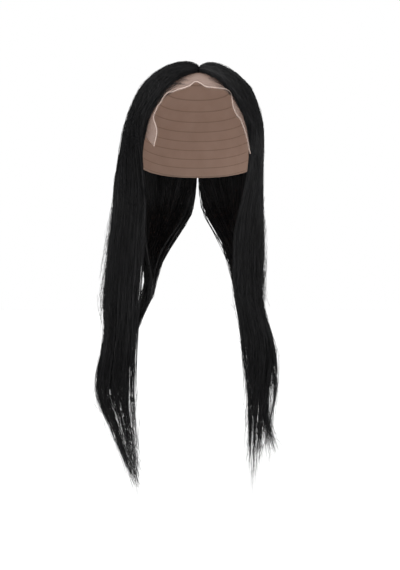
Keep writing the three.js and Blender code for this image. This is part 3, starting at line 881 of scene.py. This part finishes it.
def comb_hairline(side_name, rng):
    """Fine strands rooted in the lace, sweeping back into the hair behind them."""
    side = SIDES[side_name]
    rows = FALLS["front", side_name]
    count = HAIRLINE_STRANDS
    last = len(LIFT_ROWS) + len(rows) - 1
    place = np.repeat(rng.uniform(*HAIRLINE_PLACES, (count, 1)), last + 1, axis=1)
    depth = np.repeat(rng.uniform(*HAIRLINE_DEPTHS, (count, 1)), last + 1, axis=1)
    stations = hair_stations(side, FRONT_FLOW, rows, place, depth)
    strand = np.arange(count)[:, None]

    share = 0.5 + side * HAIRLINE_REACH * rng.beta(1, HAIRLINE_CROWDING, count)
    corner = np.sin(math.pi * np.clip(np.abs(share - 0.5) / CORNER_SHARE, 0, 1))
    spread = HAIRLINE_SPREAD + HAIRLINE_CORNER * corner
    across = HAIRLINE_ACROSS + spread * rng.beta(1, ROOT_CROWDING, count)
    roots = lace_point(share, across, CLOTH)
    tries = np.linspace(0, len(LIFT_ROWS), HAIRLINE_TRIES)[None]
    candidates = spline(stations, np.repeat(tries, count, axis=0), strand)
    nearest = np.argmin(np.linalg.norm(candidates - roots[:, None], axis=-1), axis=1)
    start = tries[0][nearest]
    end = last * rng.uniform(*HAIRLINE_ENDS, count)
    steps = np.linspace(0, 1, HAIRLINE_POINTS) ** HAIRLINE_POINT_CROWDING
    at = start[:, None] + (end - start)[:, None] * steps
    paths = spline(stations, at, strand)
    join = np.exp(-(at - start[:, None]) / HAIRLINE_JOIN)
    paths = paths + join[..., None] * (roots - paths[:, 0])[:, None]
    on_cap = at < len(LIFT_ROWS) - 1
    lack = np.maximum(CLOTH + HAIRLINE_COVER - height_over_form(paths), 0) * on_cap
    lack[:, 0] = 0
    paths = paths + lack[..., None] * unit(paths - FORM_CENTRE)
    tints = rng.uniform(*HAIRLINE_TINTS, count)
    return paths, strand_radii(rng, count, steps, HAIRLINE_RADIUS), tints


def make_hair():
    """Every kind of strand on each side and the side's hairline, each with random numbers of its own."""
    finish = hair_finish()
    for side_name, side in SIDES.items():
        node = f"hair_{side_name}"
        for i, kind in enumerate(KINDS):
            rng = np.random.default_rng((SEED, i, side + 1))
            name = f"hair_{side_name}_{kind.name}"
            dress(name, strand_mesh(name, *comb_strands(kind, side_name, rng)), finish, node)
        rng = np.random.default_rng((SEED, len(KINDS), side + 1))
        name = f"hairline_{side_name}"
        dress(name, strand_mesh(name, *comb_hairline(side_name, rng)), finish, node)


def seam_direction(angle, seam_y):
    """Direction to the seam at an angle from straight up, in the plane across the form that it lies in."""
    flat = np.stack((np.sin(angle), 0 * angle, np.cos(angle)), -1)
    direction = flat
    for _ in range(SEAM_ROUNDS):
        level = np.sqrt(form_radius(unit(direction)) ** 2 - seam_y**2)
        direction = flat * level[..., None] + np.array((0, seam_y, 0))
    return unit(direction)


def seam_angle(drop, seam_y):
    """Angle at which the seam reaches a drop below the crown."""
    angles = np.linspace(0, SEAM_SPAN, SEAM_SAMPLES)
    heights = over_form(seam_direction(angles, seam_y), 0)[:, 2]
    return float(np.interp(drop, -heights, angles))


def lace_point(share, across, height):
    """A point of the lace. share runs along it from its -X end to its +X end.

    across runs from the seam (0) past the hairline (0.5) to the edge (1).
    """
    seam_y = -SEAM_FRONT + SEAM_LAP
    end = seam_angle(RIM_DROP_FRONT, seam_y)
    lace = between_rows(LACE_ROWS, LACE_COLUMNS, share * (len(LACE_ROWS) - 1))
    seam = seam_direction(mix(-end, end, share), seam_y)
    hairline = form_direction(lace["hair_turn"], lace["hair_drop"])
    edge = form_direction(lace["edge_turn"], lace["edge_drop"])
    under = np.clip(2 * across, 0, 1)[:, None]
    bare = np.clip(2 * across - 1, 0, None)
    direction = unit(mix(mix(seam, hairline, under), edge, bare[:, None]))
    return over_form(direction, height + lace["stand"] * bare**2)


def lace_finish():
    """Sheer pinkish tan net with painted shade under the hair, a folded edge that covers more as doubled
    lace and is painted paler as a highlight, and small dark knots where the hair is tied in.
    """
    lace = Finish("sheer_lace")
    weave = lace.node("ShaderNodeUVMap", {"uv_map": "weave"})
    along = lace.node("ShaderNodeSeparateXYZ", None, 0, Vector=weave)
    across = lace.node("ShaderNodeSeparateXYZ", None, 1, Vector=weave)
    turns = 2 * math.pi * LACE_THREADS
    lean = across * (turns * LACE_SLANT)
    straight = abs((along * turns).sine())
    leaning_left = abs((along * (turns / 2) + lean).sine())
    leaning_right = abs((along * (turns / 2) - lean).sine())
    hole = straight.least(leaning_left.least(leaning_right)).ramp(*THREAD_EDGE)
    # the folded edge: doubled lace that covers more, painted pale as a highlight
    hem = across.ramp(*HEM_ROWS)
    cloud = lace.node("ShaderNodeTexNoise", None, 0, Vector=weave, Scale=14.0, Detail=3.0)
    knots = lace.node("ShaderNodeTexVoronoi", None, 0, Vector=weave, Scale=130.0)
    near_hair = 1 - across.ramp(*KNOT_ROWS)
    knot = (1 - knots.ramp(*KNOT_EDGE)) * near_hair
    net = lace.blend(NET_DARK, NET_PALE, cloud)
    shaded = lace.blend(net, NET_SHADED, near_hair * NET_SHADE)
    tied = lace.blend(shaded, KNOT_DARK, knot * KNOT_SHADE)
    cover = (LACE_COVER - HOLE_COVER * hole + HEM_COVER * hem).most(knot)
    return lace.finish(Base_Color=lace.blend(tied, HEM_HIGHLIGHT, hem), Alpha=cover, Roughness=0.7)


def make_lace():
    """The band from the seam to its wavy edge, which is folded back as a narrow hem."""
    net = bmesh.new()
    bmesh.ops.create_grid(net, x_segments=LACE_SEGMENTS[0], y_segments=LACE_SEGMENTS[1], size=0.5)
    flat = np.array([vertex.co[:2] for vertex in net.verts]) + 0.5
    share = flat[:, 0]
    across = np.interp(flat[:, 1], (0, LACE_UNDER, LACE_FOLD, 1), (0, 0.5, 1, 1))
    fold = np.clip((flat[:, 1] - LACE_FOLD) / (1 - LACE_FOLD), 0, 1)
    edge = lace_point(share, 1 + 0 * share, CLOTH)
    hairline = lace_point(share, 0.5 + 0 * share, CLOTH)
    hem = np.minimum(LACE_HEM / np.linalg.norm(edge - hairline, axis=-1), HEM_MOST)
    across = across - 0.5 * hem * smoothstep(fold, *HEM_RETURN)
    bare = np.clip(2 * across - 1, 0, 1)
    ripple = sum(size * np.sin(2 * math.pi * count * share + start) for count, size, start in RIPPLES)
    lift = LACE_RIPPLE * bare**RIPPLE_GROWTH * ripple + HEM_LIFT * smoothstep(fold, *HEM_RISE)
    points = lace_point(share, across, CLOTH / 2 + lift)
    for vertex, point in zip(net.verts, points * MM):
        vertex.co = point
    weave = net.loops.layers.uv.new("weave")
    for face in net.faces:
        for loop in face.loops:
            loop[weave].uv = flat[loop.vert.index]
    piece = dress("lace_front_net", mesh_of("lace_front_net", net), lace_finish(), "lace_front")
    thicken(piece, LACE_THICKNESS, offset=0)


def cap_finish():
    """Tan stretch net with sewn rows that carry the hair."""
    cap = Finish("cap_net")
    place = cap.node("ShaderNodeTexCoord", None, "Object")
    noise = cap.node("ShaderNodeTexNoise", None, "Fac", Vector=place, Scale=60.0, Detail=4.0)
    colour = cap.blend(CAP_DARK, CAP_PALE, noise)
    side = cap.node("ShaderNodeSeparateXYZ", None, 0, Vector=place)
    depth = cap.node("ShaderNodeSeparateXYZ", None, 1, Vector=place)
    height = cap.node("ShaderNodeSeparateXYZ", None, 2, Vector=place)
    rows = abs((height * (math.pi / CAP_ROW_PITCH) + depth * CAP_ROW_SLOPE).sine())
    row = 1 - rows.ramp(*CAP_ROW_EDGE)
    stitches = abs(((side + depth * STITCH_SLANT) * (math.pi / STITCH_PITCH)).sine()).ramp(*STITCH_EDGE)
    sewn = cap.blend(colour, CAP_ROW, row * (ROW_SHADE + STITCH_SHADE * stitches))
    relief = row + NOISE_BUMP * noise
    bump = cap.node("ShaderNodeBump", None, 0, Strength=0.35, Distance=0.0006, Height=relief)
    return cap.finish(Base_Color=sewn, Roughness=0.9, Normal=bump)


def make_cap():
    """The open dome from the seam back over the crown to the rim."""
    dome = bmesh.new()
    bmesh.ops.create_uvsphere(dome, u_segments=CAP_SEGMENTS[0], v_segments=CAP_SEGMENTS[1], radius=1)
    directions = unit(np.array([vertex.co for vertex in dome.verts]))
    for vertex, point in zip(dome.verts, over_form(directions, 0) * MM):
        vertex.co = point
    below_rim = Vector((0, RIM_DROP_FRONT - RIM_DROP_BACK, -(SEAM_FRONT + FORM_HALF_LENGTH)))
    ahead = Vector((0, -1, 0))
    for drop, cut_away in ((RIM_DROP_FRONT, below_rim), (0, ahead)):
        place = (0, -SEAM_FRONT * MM, -drop * MM)
        everything = dome.verts[:] + dome.edges[:] + dome.faces[:]
        bmesh.ops.bisect_plane(dome, geom=everything, plane_co=place, plane_no=cut_away, clear_outer=True)
    piece = dress("cap_net", mesh_of("cap_net", dome), cap_finish(), "cap_base")
    thicken(piece, CAP_THICKNESS, offset=1)


def make_light(scene):
    """A white room with soft light from above and from the front left."""
    world = bpy.data.worlds.new("studio")
    world.use_nodes = True
    nodes = world.node_tree.nodes
    links = world.node_tree.links
    room = nodes["Background"]
    room.inputs["Color"].default_value = WHITE
    room.inputs["Strength"].default_value = ROOM_LIGHT
    backdrop = nodes.new("ShaderNodeBackground")
    backdrop.inputs["Color"].default_value = WHITE
    shown = nodes.new("ShaderNodeMixShader")
    links.new(nodes.new("ShaderNodeLightPath").outputs["Is Camera Ray"], shown.inputs[0])
    links.new(room.outputs[0], shown.inputs[1])
    links.new(backdrop.outputs[0], shown.inputs[2])
    links.new(shown.outputs[0], nodes["World Output"].inputs["Surface"])
    scene.world = world

    sky = bpy.data.lights.new("overhead_light", "SUN")
    sky.energy = OVERHEAD_LIGHT
    sky.angle = math.radians(OVERHEAD_SPREAD)
    overhead = link(bpy.data.objects.new("overhead_light", sky))
    overhead.rotation_euler = (math.radians(OVERHEAD_TILT), 0, 0)
    key = bpy.data.lights.new("key_light", "AREA")
    key.size = KEY_SIZE
    key.energy = KEY_LIGHT
    lamp = link(bpy.data.objects.new("key_light", key))
    lamp.location = KEY_PLACE
    lamp.rotation_euler = (KEY_AIM - lamp.location).to_track_quat("-Z", "Y").to_euler()


def make_floor():
    """A wide pale floor with a faint grain."""
    ground = bmesh.new()
    bmesh.ops.create_grid(ground, x_segments=1, y_segments=1, size=FLOOR_HALF_SIZE)
    bmesh.ops.translate(ground, vec=(0, 0, FLOOR_Z * MM), verts=ground.verts)
    paper = Finish("pale_floor")
    place = paper.node("ShaderNodeTexCoord", None, "Object")
    grain = paper.node("ShaderNodeTexNoise", None, "Fac", Vector=place, Scale=40.0)
    mesh = mesh_of("floor", ground)
    mesh.materials.append(paper.finish(Base_Color=FLOOR_PALE, Roughness=0.85 + 0.05 * grain))
    link(bpy.data.objects.new("floor", mesh))


def make_studio():
    """Camera, floor and light."""
    scene = bpy.context.scene
    camera = link(bpy.data.objects.new("camera", bpy.data.cameras.new("camera")))
    camera.location = (CAMERA_X * MM, -CAMERA_DISTANCE * MM, CAMERA_Z * MM)
    camera.rotation_euler = (math.pi / 2, 0, 0)
    camera.data.sensor_width = SENSOR
    camera.data.lens = SENSOR * CAMERA_DISTANCE / (MM_PER_PIXEL * max(IMAGE_WIDTH, IMAGE_HEIGHT))
    camera.data.clip_start = NEAREST_SEEN
    camera.data.clip_end = FURTHEST_SEEN
    scene.camera = camera
    make_floor()
    make_light(scene)
    scene.view_settings.view_transform = "Standard"


make_studio()
make_cap()
make_lace()
make_hair()
